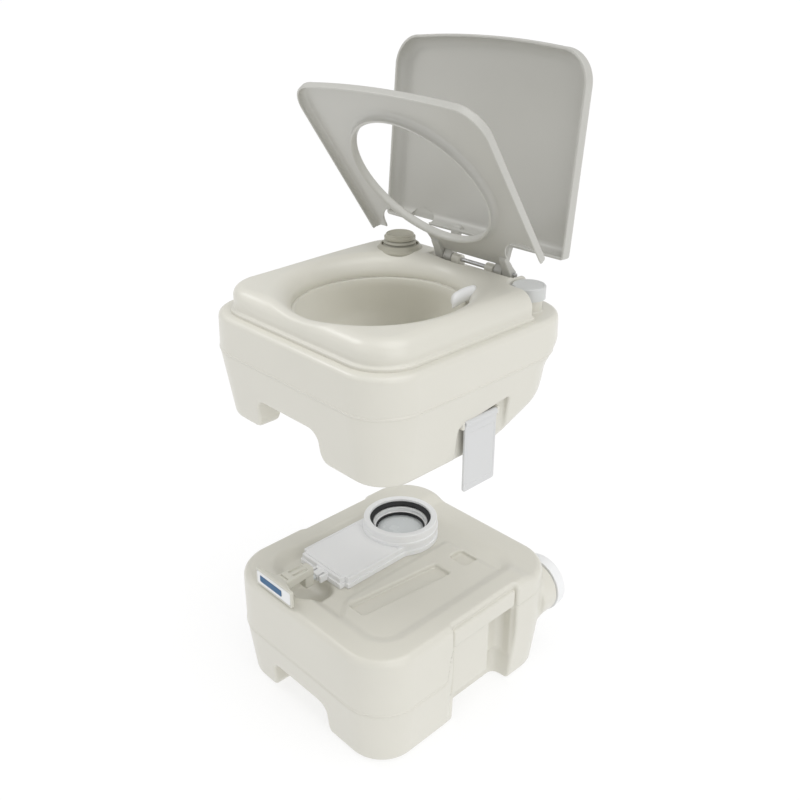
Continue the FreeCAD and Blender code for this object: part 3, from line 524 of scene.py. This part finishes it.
def valve_field(x, y, z):
    """Keyhole housing with a narrower cover, a guide for the rod and the blade's slot."""
    def keyhole(less):
        plate = plan(x, y, PLATE, (VALVE[1] + PLATE_FRONT) / 2, PLATE_HALF - less,
                     (VALVE[1] - PLATE_FRONT) / 2 - less, 3)
        for side in (-1, 1):
            ear = plan(x, y, PLATE + side * PLATE_HALF, PLATE_FRONT - 5, 8 + less, 15 + less, 1)
            plate = carve(plate, ear, 1)
        return join(plate, disc(x, y, VALVE[0], VALVE[1], 62 - less), 3)

    base = common(keyhole(0.0), span(z, BASE, ROD_LEVEL), 1.2)
    cover = common(keyhole(2.2), span(z, ROD_LEVEL - 1, VALVE_TOP), 1.6)
    shape = join(base, cover, 0.6)
    guide = brick(x, y, z, (VALVE[0] - 14, -104, BASE + 3), (VALVE[0] + 14, -86, VALVE_TOP - 3), 1)
    for side in (-1, 1):
        gap = span(x, VALVE[0] + side * 8 - 1.6, VALVE[0] + side * 8 + 1.6)
        guide = carve(guide, np.maximum(gap, y + 92), 0.5)
    shape = join(shape, guide, 1)
    # shallow panel pressed into the cover
    panel = plan(x, y, PLATE, -26, 50, 56, 4)
    shape = carve(shape, common(np.abs(panel) - 0.8, VALVE_TOP - 0.7 - z, 0.4), 0.4)
    slot = np.minimum(plan(x, y, VALVE[0], (VALVE[1] - 50) / 2, BLADE_POCKET, (VALVE[1] + 50) / 2, 2),
                      disc(x, y, VALVE[0], VALVE[1], BLADE_POCKET))
    shape = carve(shape, np.maximum(slot, span(z, ROD_LEVEL - 1.9, ROD_LEVEL + 1.9)), 0.3)
    rod = np.maximum(np.hypot(x - VALVE[0], z - ROD_LEVEL) - 4.4, y - VALVE[1])
    shape = carve(shape, rod, 0.3)
    return carve(shape, disc(x, y, VALVE[0], VALVE[1], THROAT_RADIUS), 0.8)


STEM_END = -116.0                    # narrow end of the handle's stem


def handle_field(x, y, z):
    """Flared stem with a shallow tray at its front and a block that drops to the rod."""
    front = corners("valve_handle")[0][1]
    share = np.clip((y - STEM_END) / (front + 5 - STEM_END), 0, 1)
    half_x = 9 + 5 * share + 22 * step(share, 0.80, 1.0)
    half_z = 7 + 2 * share + 4 * step(share, 0.80, 1.0)
    stem = plan(x, z, VALVE[0], HANDLE_LEVEL, half_x, half_z, 3)
    stem = common(stem, span(y, front + 3, -112), 2)
    tray = common(plan(x, z, VALVE[0], HANDLE_LEVEL, 43, 14, 2), span(y, front, front + 5.4), 1.5)
    shape = join(stem, tray, 2)
    drop = brick(x, y, z, (VALVE[0] - 9, -128, ROD_LEVEL - 6), (VALVE[0] + 9, -112, HANDLE_LEVEL + 4), 2)
    shape = join(shape, drop, 2)
    for side in (-1, 1):
        dip = plan(x, y, VALVE[0] + side * 5.4, -135, 2.6, 13, 2)
        shape = carve(shape, common(dip, HANDLE_LEVEL + 5 - z, 1), 1)
    groove = plan(x, y, VALVE[0], -160, 9, 1.0, 0.9)
    shape = carve(shape, np.maximum(groove, HANDLE_LEVEL + 6 - z), 0.4)
    recess = common(plan(x, z, VALVE[0], HANDLE_LEVEL, 40.2, 11.2, 1.5), y - (front + 1.6), 0.4)
    return carve(shape, recess, 0.6)


def plate_field(node, corner):
    """Thin panel that stands upright, facing the front."""
    low, high = corners(node)

    def field(x, y, z):
        flat = plan(x, z, (low[0] + high[0]) / 2, (low[2] + high[2]) / 2, (high[0] - low[0]) / 2,
                    (high[2] - low[2]) / 2, corner)
        return common(flat, span(y, low[1], high[1]), 0.25)
    return field, low, high


def slide_valve():
    grid = (ticks(VALVE[0] - 66, VALVE[0] + 65, 1.5), ticks(-108, VALVE[1] + 65, 1.5),
            ticks(BASE - 2, BASE + 21, 0.9))
    moulded("valve_body", valve_field, grid, "waste_section", WHITE,
            ["valve_housing", "valve_cover", "valve_screws"])
    base = (VALVE[0], VALVE[1], VALVE_TOP)
    turned("valve_collar_ring", [(42.2, 7, 0), (42.2, 0.05, 0), (62, 0.05, 0.4), (62, 5.5, 1.2),
                                 (60.4, 6.3, 0.6), (60.4, 19, 2.2), (50, 19, 1.2), (50, 7, 0.5),
                                 (42.2, 7, 0)],
           base, "waste_section", WHITE, ["valve_collar"], count=128)
    low, high = corners("valve_handle")
    grid = (ticks(low[0] - 2, high[0] + 2, 1.1), ticks(low[1] - 2, high[1] + 2, 1.1),
            ticks(low[2] - 2, high[2] + 2, 1.1))
    moulded("pull_handle", handle_field, grid, "valve_slider", HANDLE, ["valve_handle"])
    for node, corner, material, slot in (("handle_plate", 2.5, WHITE, "white"),
                                         ("handle_label", 1.2, LABEL, "label")):
        field, low, high = plate_field(node, corner)
        grid = (ticks(low[0] - 1, high[0] + 1, 0.9), ticks(low[1] - 0.5, high[1] + 0.5, 0.2),
                ticks(low[2] - 1, high[2] + 1, 0.9))
        moulded(node + "_panel", field, grid, "valve_slider", material, [node])


def spout_cap():
    start = corners("spout_cap")[0][1]
    turned("spout_screw_cap", [(37.5, 0.2, 0), (47, 0.2, 1.2), (47, 4.2, 0.8), (46, 5, 0.8),
                               (46, 18.5, 5), (41, 23, 3), (32, 23, 0.8), (31, 21.6, 0.8),
                               (0, 21.6, 0)],
           (SPOUT[0], start, SPOUT[2]), "spout_cover", WHITE, ["spout_cap"], along_y=True,
           teeth=32, tooth=0.5, tooth_span=(7, 17), count=256)


# ---------------------------------------------------------------- flush tank

tank_inset = soft_curve([(FEET, 15), (RIDGE, 0.2), (RIM - 8, 1.6), (RIM, 3)], 6)
rear_ledge = soft_curve([(RIM - 130, 21), (RIM - 66, 21), (RIM - 38, 0), (RIM, 0)], 9)


def flush_field(x, y, z):
    inset = tank_inset(z)
    bead = 0.9 * bump(z, RIDGE, 1.0) - 0.4 * bump(z, RIDGE - 2.6, 1.2)
    ledge = rear_ledge(z) / 2
    side = plan(x, y, 0, -ledge, TANK_HALF - inset, TANK_HALF + 0.5 - inset - ledge, 64 - inset) - bead
    body = common(side, z - RIM, 6.5)
    body = common(body, FEET - z, 8)
    # pocket over the valve, hand cut-out, side recesses; the rear is set in and slopes up
    pocket = plan(x, y, 0, 6, 128, 140, 30)
    body = carve(body, common(pocket, z - POCKET, 8), 6)
    notch = common(span(x, CUT_LEFT, CUT_RIGHT), z - POCKET, 16)
    notch = common(join(notch, z - FEET + 4, 26), y, 4)
    body = carve(body, notch, 4)
    slant = ((z - FEET) * 208 - (y - 46) * 97) / math.hypot(208, 97)
    body = carve(body, slant, 18)
    recess = common(span(y, -41, 52), 166 - np.abs(x), 4)
    top = (z - RIM + 98 - 0.16 * (y + 36) + 0.5 * (np.abs(x) - 166)) * 0.88
    body = carve(body, common(recess, top, 5), 4)
    # pivot ears of the latches and the neck under the fill cap
    for start in (-38.5, 27.5):
        ear = brick(np.abs(x), y, z, (160, start, RIM - 107), (177.4, start + 5, RIM - 95), 1.5)
        body = join(body, ear, 1.5)
    around = disc(x, y, FILL[0], FILL[1], 0)
    body = join(body, common(around - 19, span(z, RIM - 10, RIM + 27), 1), 2)
    # room for the bowl and for the pump barrel
    body = carve(body, bowl_space(x, y, z, BOWL_WALL + 0.6), 0.5)
    barrel = np.maximum(disc(x, y, PUMP[0], PUMP[1], 21), DECK - 84 - z)
    return carve(body, barrel, 0.5)


bowl_x = soft_curve([(POCKET - 20, VALVE[0]), (POCKET + 22, VALVE[0]), (DECK - 82, VALVE[0] * 0.55),
                     (RIM, -4), (DECK, 0)], 16)
bowl_y = soft_curve([(POCKET - 20, VALVE[1]), (POCKET + 22, VALVE[1]), (DECK - 82, VALVE[1] * 0.5 - 8),
                     (RIM, -10), (DECK, -14)], 16)
bowl_wide = soft_curve([(POCKET - 20, 38), (POCKET + 20, 38), (DECK - 82, 84), (RIM - 4, 108.5),
                        (DECK, 123), (DECK + 20, 129)], 14)
bowl_long = soft_curve([(POCKET - 20, 38), (POCKET + 20, 38), (DECK - 82, 86), (RIM - 4, 112.5),
                        (DECK, 132), (DECK + 20, 139)], 14)


def bowl_space(x, y, z, grow):
    """The bowl's hollow, from the oval mouth down to the round outlet."""
    return oval(x, y, bowl_x(z), bowl_y(z), bowl_wide(z) + grow, bowl_long(z) + grow) * 0.9


def flush_tank():
    fine_z = ((RIDGE - 5, RIDGE + 3, 0.7), (FEET - 3, FEET + 12, 2.2), (RIM - 10, RIM + 4, 1.4))
    grid = (ticks(-186, 186, 3.0, (-186, -150, 2.0), (150, 186, 2.0)),
            ticks(-187, 187, 3.0, (-187, -130, 2.6), (-46, 56, 2.4)),
            ticks(FEET - 3, RIM + 30, 3.0, *fine_z))
    moulded("flush_tank_shell", flush_field, grid, "flush_section", TANK, ["flush_tank"])


# ---------------------------------------------------------------- deck with the bowl

DECK_HALF, DECK_CORNER = 163.0, 54.0
CHEEKS = ((-15, 1), (48, 64))        # fixed knuckles along the hinge pin
LID_ARMS = ((-31, -16), (65, 80))
SEAT_ARMS = ((-47, -32), (81, 96))


def deck_field(x, y, z):
    rise = 4.2 * step(y, -150, 90)
    soft = 13 + 11 * np.maximum(step(x, -150, -60) * step(-y, -60, 60), step(x, 60, 150))
    side = plan(x, y, 0, 1.5, DECK_HALF, DECK_HALF + 1.5, DECK_CORNER)
    slab = common(side, z - DECK - rise, soft)
    skirt = plan(x, y, 0, 1.5, DECK_HALF + 4.5, DECK_HALF + 6, DECK_CORNER + 4.5)
    skirt = common(skirt, z - (RIM + 5), 2.4)
    slab = join(slab, skirt, 3.0)
    # hinge recess along the rear edge
    recess = common(span(x, -56, 104), HINGE[1] - 13 - y, 4)
    slab = carve(slab, common(recess, HINGE[2] - 13 - z, 3), 3)
    # clear space round the fill neck
    fill = disc(x, y, FILL[0], FILL[1], 26)
    beyond = np.minimum(np.maximum(FILL[0] - x, FILL[1] - 26 - y),
                        np.maximum(FILL[0] - 26 - x, FILL[1] - y))
    slab = carve(slab, np.minimum(fill, beyond), 4)
    slab = common(slab, RIM - 1 - z, 0.4)
    # bowl: a soft lip in the slab, and a shell below it down to the spigot
    slab = carve(slab, bowl_space(x, y, z, 0), 19)
    shell = np.maximum(bowl_space(x, y, z, BOWL_WALL), span(z, POCKET + 1, RIM + 6))
    spigot = common(disc(x, y, VALVE[0], VALVE[1], 43.8), span(z, SPIGOT, POCKET + 8), 1)
    shape = np.minimum(slab, carve(np.minimum(shell, spigot), bowl_space(x, y, z, 0), 0.5))
    for low, high in CHEEKS:
        knuckle = np.hypot(y - HINGE[1], z - HINGE[2]) - 7
        cheek = brick(x, y, z, (low, HINGE[1] - 7, HINGE[2] - 16), (high, HINGE[1] + 7, HINGE[2]), 1)
        shape = join(shape, np.minimum(common(knuckle, span(x, low, high), 1), cheek), 1.5)
    barrel = np.maximum(disc(x, y, PUMP[0], PUMP[1], 20.6), RIM - 5 - z)
    return carve(shape, barrel, 0.5)


def deck():
    grid = (ticks(-170, 170, 2.8, (-60, 110, 2.5)),
            ticks(-168, 176, 2.8, (128, 176, 1.8)),
            ticks(SPIGOT - 2, HINGE[2] + 10, 3.2, (RIM - 3, RIM + 8, 0.9),
                  (RIM + 8, HINGE[2] + 10, 1.8)))
    moulded("deck_and_bowl", deck_field, grid, "flush_section", TANK, ["bowl_deck"])


NOZZLE_TURN = math.radians(51.5)
NOZZLE = np.array([math.cos(NOZZLE_TURN), math.sin(NOZZLE_TURN), 0]) * 134 + [0, -14, DECK - 14]


def nozzle_field(x, y, z):
    """Spray nozzle under the rear right of the rim: a stub with a domed hood over a flat slot."""
    along = (x - NOZZLE[0]) * math.cos(NOZZLE_TURN) + (y - NOZZLE[1]) * math.sin(NOZZLE_TURN)
    across = (y - NOZZLE[1]) * math.cos(NOZZLE_TURN) - (x - NOZZLE[0]) * math.sin(NOZZLE_TURN)
    up = z - NOZZLE[2]
    stub = common(np.hypot(across, up) - 6, span(along, -26, 0), 1)
    droop = 0.011 * np.minimum(along + 2, 0) ** 2
    hood = np.hypot(across * (1 + 0.006 * (along + 34)), (up + droop - 2) * 1.15) - 11.5
    hood = common(common(hood, span(along, -38, -4), 5), -up - droop - 7, 3)
    shape = join(stub, hood, 2)
    slot = common(span(across, -7.5, 7.5), span(up + droop, -5, 1.5), 1.5)
    return carve(shape, np.maximum(slot, along + 30), 0.8)


def nozzle():
    grid = tuple(ticks(NOZZLE[k] - reach, NOZZLE[k] + more, 0.9)
                 for k, (reach, more) in enumerate(((40, 14), (44, 10), (20, 16))))
    moulded("spray_nozzle", nozzle_field, grid, "flush_section", WHITE, ["flush_nozzle"])


# ---------------------------------------------------------------- seat and lid, drawn shut

COVER_HALF = 168.5
COVER_LENGTH = 300.0
COVER_FRONT = HINGE[1] - COVER_LENGTH
COVER_CORNER = 44.0
SEAT_ANGLE, LID_ANGLE = 56.0, 95.0   # how far each stands open
SEAT_LOW = HINGE[2] - 10
SEAT_TOP = SEAT_LOW + 16
LID_LOW = SEAT_TOP + 1.5
LID_TOP = LID_LOW + 20
HOLE = (0.0, HINGE[1] - 150, 113.0, 100.0)
PUMP_NOTCH = (-98.0, PUMP[1] - 2)    # centres of the arches cut in the seat's rear edge
FILL_NOTCH = (135.0, FILL[1] - 14)
PAST_REAR = 300.0                    # well behind the hinge, where an outline may run out


def cover_plan(x, y, back, less):
    """Outline of the seat and the lid: straight back, round front corners, bowed front."""
    flat = y - 6 * np.minimum((x / 124) ** 2, 1.0) * step(-y, -40, 120)
    middle = (COVER_FRONT + PAST_REAR) / 2
    front = plan(x, flat, 0, middle, COVER_HALF - less, middle - COVER_FRONT - less,
                 COVER_CORNER - less)
    return common(front, y - (back - less), max(5 - less, 0.5))


def arm(x, y, z, low, high, root_y, root_z, root_radius):
    """Hinge arm from a cover's rear edge to its knuckle."""
    along_y, along_z = HINGE[1] - root_y, HINGE[2] - root_z
    length = math.hypot(along_y, along_z)
    share = np.clip(((y - root_y) * along_y + (z - root_z) * along_z) / length ** 2, 0, 1)
    reach = np.hypot(y - root_y - share * along_y, z - root_z - share * along_z)
    profile = reach - (root_radius + (7 - root_radius) * share ** 2)
    return common(profile, span(x, low, high), 1.5)


def seat_field(x, y, z):
    back = HINGE[1] - 22
    rear = back + 14 * step(x, -66, -48) * step(-x, -112, -92)
    outer = common(cover_plan(x, y, rear, 0), z - SEAT_TOP, 6)
    outer = common(outer, SEAT_LOW + 3 - z, 1.2)
    hole = oval(x, y, *HOLE)
    # the underside is hollow out through the rear edge, so that it lies over the deck
    hollow = common(cover_plan(x, y, PAST_REAR, WALL), z - (SEAT_TOP - WALL), 8)
    hollow = carve(hollow, hole - 5, 8)
    shape = carve(outer, hollow, 1.2)
    for low, high in SEAT_ARMS:
        shape = join(shape, arm(x, y, z, low, high, back - 2, SEAT_TOP - 4, 3.5), 2)
    shape = carve(shape, hole, 4.5)
    for spot, radius in ((PUMP_NOTCH, 46), (FILL_NOTCH, 42)):
        shape = carve(shape, disc(x, y, *spot, radius), 1.4)
    return shape


def crown(x, y):
    """Height of the lid's gentle dome."""
    return 3.2 * np.clip(1 - (x / COVER_HALF) ** 2, 0, 1) * np.clip(1 - ((y + 22) / 136) ** 2, 0, 1)


def lid_field(x, y, z):
    back = HINGE[1] - 34
    raised = z - crown(x, y)
    outer = common(cover_plan(x, y, back, 0), raised - LID_TOP, 9)
    outer = common(outer, LID_LOW - z, 1.2)
    hollow = common(cover_plan(x, y, back, WALL + 1), raised - (LID_TOP - WALL), 14)
    shape = carve(outer, hollow, 1.2)
    for low, high in LID_ARMS:
        shape = join(shape, arm(x, y, z, low, high, back - 6, LID_LOW + 5, 4), 2)
    knob = np.maximum(disc(x, y, PUMP[0], PUMP[1], 29), z - (LID_TOP - WALL))
    return carve(shape, knob, 1.4)


def covers():
    grid = (ticks(-171, 171, 1.7), ticks(COVER_FRONT - 3, HINGE[1] + 9, 1.7),
            ticks(SEAT_LOW - 1, SEAT_TOP + 3, 1.1))
    moulded("seat_shell", seat_field, grid, "seat_cover", COVER, ["seat"],
            angle=SEAT_ANGLE)
    grid = (ticks(-171, 171, 1.9), ticks(COVER_FRONT - 3, HINGE[1] + 9, 1.9),
            ticks(HINGE[2] - 9, LID_TOP + 6, 1.3))
    moulded("lid_shell", lid_field, grid, "lid_cover", COVER, ["lid"], angle=LID_ANGLE)


# ---------------------------------------------------------------- pump and fill cap

def pump():
    base = (PUMP[0], PUMP[1], DECK)
    turned("pump_collar", [(27, 0.05, 0), (36, 0.05, 0.4), (36, 3.2, 1.6), (31.5, 5.2, 2.0),
                           (29.2, 10, 1.0), (27, 10, 0.4), (27, 0.05, 0)],
           base, "flush_section", PUMP_PLASTIC, ["pump_flange"])
    turned("pump_button_cap", [(0, 16.2, 0), (21, 16.2, 0.5), (23.4, 17.2, 0.8), (23.4, 21.4, 1.2),
                               (21.4, 22.2, 0.5), (21.0, 22.8, 0.4), (21.0, 24.8, 1.6), (18.6, 26, 0.8),
                               (15.5, 25.4, 1.5), (0, 25.0, 0)],
           base, "pump_button", PUMP_PLASTIC, ["pump_knob"])


def fill_cap():
    base = (FILL[0], FILL[1], RIM)
    turned("fill_screw_cap", [(19.4, 31, 0), (19.4, 17, 0), (23, 17, 0.4), (23, 33.4, 1.0),
                              (21.6, 35, 0.8), (19.4, 35, 0.5), (18.6, 34.3, 0.4), (0, 34.3, 0)],
           base, "fill_cover", CAP_GREY, ["fill_cap"], teeth=26, tooth=1.1,
           tooth_span=(18.5, 31.5), count=260)


# ---------------------------------------------------------------- latches

LATCH_X, LATCH_Y = 175.0, -3.0       # middle of the right-hand flap


def latch_field(x, y, z):
    """Flat flap hanging straight down from its barrel, with a hook at its foot."""
    low, high = corners("latch_right")
    top = high[2] - 4.5
    flap = common(plan(y, z, LATCH_Y, (top - 2 + low[2]) / 2, 30, (top + 2 - low[2]) / 2, 4),
                  span(x, LATCH_X - 2, LATCH_X + 2), 1.2)
    barrel = common(np.hypot(x - LATCH_X, z - top) - 4.5, span(y, low[1], high[1]), 1)
    foot = brick(x, y, z, (167.5, -27, low[2]), (175, 21, low[2] + 5), 1.2)
    shape = join(join(flap, barrel, 2.5), foot, 2)
    # shallow panel across the outer face
    dish = common(plan(y, z, LATCH_Y, (top + low[2]) / 2 - 4, 26, 38, 3), LATCH_X + 1.5 - x, 0.4)
    return carve(shape, dish, 0.5)


def latch(name, side):
    """The left-hand latch is the right-hand one mirrored."""
    low, high = corners("latch_right")
    grid = (ticks(164, 182, 0.9), ticks(low[1] - 2, high[1] + 2, 1.3),
            ticks(low[2] - 2, high[2] + 2, 1.3))
    points, quads = skin(latch_field, *grid)
    normals = slope(latch_field, points)[1]
    mirror = np.array([side, 1, 1])
    faces = quads if side > 0 else quads[:, ::-1]
    obj = solid_mesh("latch_flap_" + name, points * mirror, faces.tolist(), normals * mirror)
    settle(obj, name + "_latch", LATCH, ["latch_" + name])


# ---------------------------------------------------------------- CAD pieces that stay

KEPT = {
    "valve_gasket": SEAL, "collar_lip_seal": SEAL, "throat_seal": SEAL, "spout_gasket": SEAL,
    "fill_cap_gasket": SEAL, "outlet_gasket": SEAL, "valve_blade": BLADE,
    "hinge_pin": STEEL, "latch_pin_right": STEEL, "latch_pin_left": STEEL,
    "pump_bellows": PUMP_RUBBER,
    "pump_barrel": INNER, "pump_plunger": INNER, "pump_foot_valve": INNER,
    "pump_intake_tube": INNER, "flush_hose": HOSE,
}


def finish_kept():
    """Gives the CAD pieces that stay their finishes."""
    for node, material in KEPT.items():
        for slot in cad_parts[node].material_slots:
            slot.material = material


# ---------------------------------------------------------------- studio

def sun(name, strength, azimuth, elevation, angle):
    """Distant light; the azimuth is counted from the front towards the right-hand side."""
    lamp = bpy.data.lights.new(name, "SUN")
    lamp.energy = strength
    lamp.angle = math.radians(angle)
    obj = bpy.data.objects.new(name, lamp)
    bpy.context.scene.collection.objects.link(obj)
    a, e = math.radians(azimuth), math.radians(elevation)
    towards = Vector((math.sin(a) * math.cos(e), -math.cos(a) * math.cos(e), math.sin(e)))
    obj.rotation_euler = towards.to_track_quat("Z", "Y").to_euler()


def softbox(name, power, place, target, width):
    """Square lamp at a place, turned to a target."""
    lamp = bpy.data.lights.new(name, "AREA")
    lamp.shape = "RECTANGLE"
    lamp.size = lamp.size_y = width
    lamp.energy = power
    obj = bpy.data.objects.new(name, lamp)
    bpy.context.scene.collection.objects.link(obj)
    obj.location = place
    obj.rotation_euler = (Vector(place) - Vector(target)).to_track_quat("Z", "Y").to_euler()


def studio():
    """Even white surroundings, three broad suns, one highlight and a pale floor."""
    world = bpy.data.worlds.new("studio")
    world.use_nodes = True
    background = world.node_tree.nodes["Background"]
    background.inputs["Color"].default_value = (1, 1, 1, 1)
    background.inputs["Strength"].default_value = 0.54
    bpy.context.scene.world = world
    bpy.context.scene.view_settings.view_transform = "Standard"
    sun("key", 1.0, 120, 72, 50)
    sun("front", 0.25, -40, 40, 60)
    sun("side", 0.65, 80, 25, 50)
    softbox("glint", 2.5, (-0.75, -0.5, 1.55), (0, 0, 0.6), 0.4)
    bpy.ops.mesh.primitive_plane_add(size=120, location=(0, 0, -0.0005))
    floor = bpy.context.object
    floor.name = "floor"
    paper = bpy.data.materials.new("floor_paper")
    paper.use_nodes = True
    shader = shader_of(paper)
    shader.inputs["Base Color"].default_value = (0.3, 0.3, 0.3, 1)
    shader.inputs["Roughness"].default_value = 0.9
    shader.inputs["Specular IOR Level"].default_value = 0.0
    shader.inputs["Emission Color"].default_value = (1, 1, 1, 1)
    shader.inputs["Emission Strength"].default_value = 0.72
    floor.data.materials.append(paper)


def camera():
    """Looks down at the toilet from the front right."""
    eye = Vector((0.8479, -0.7906, 1.0455))
    azimuth, elevation = math.radians(46.2), math.radians(26.2)
    back = Vector((math.sin(azimuth) * math.cos(elevation), -math.cos(azimuth) * math.cos(elevation),
                   math.sin(elevation)))
    data = bpy.data.cameras.new("camera")
    data.lens = 40.85
    data.sensor_width = 36
    obj = bpy.data.objects.new("camera", data)
    bpy.context.scene.collection.objects.link(obj)
    obj.location = eye
    obj.rotation_euler = back.to_track_quat("Z", "Y").to_euler()
    bpy.context.scene.camera = obj


waste_tank()
slide_valve()
spout_cap()
flush_tank()
deck()
nozzle()
covers()
pump()
fill_cap()
latch("right", 1)
latch("left", -1)
finish_kept()
studio()
camera()
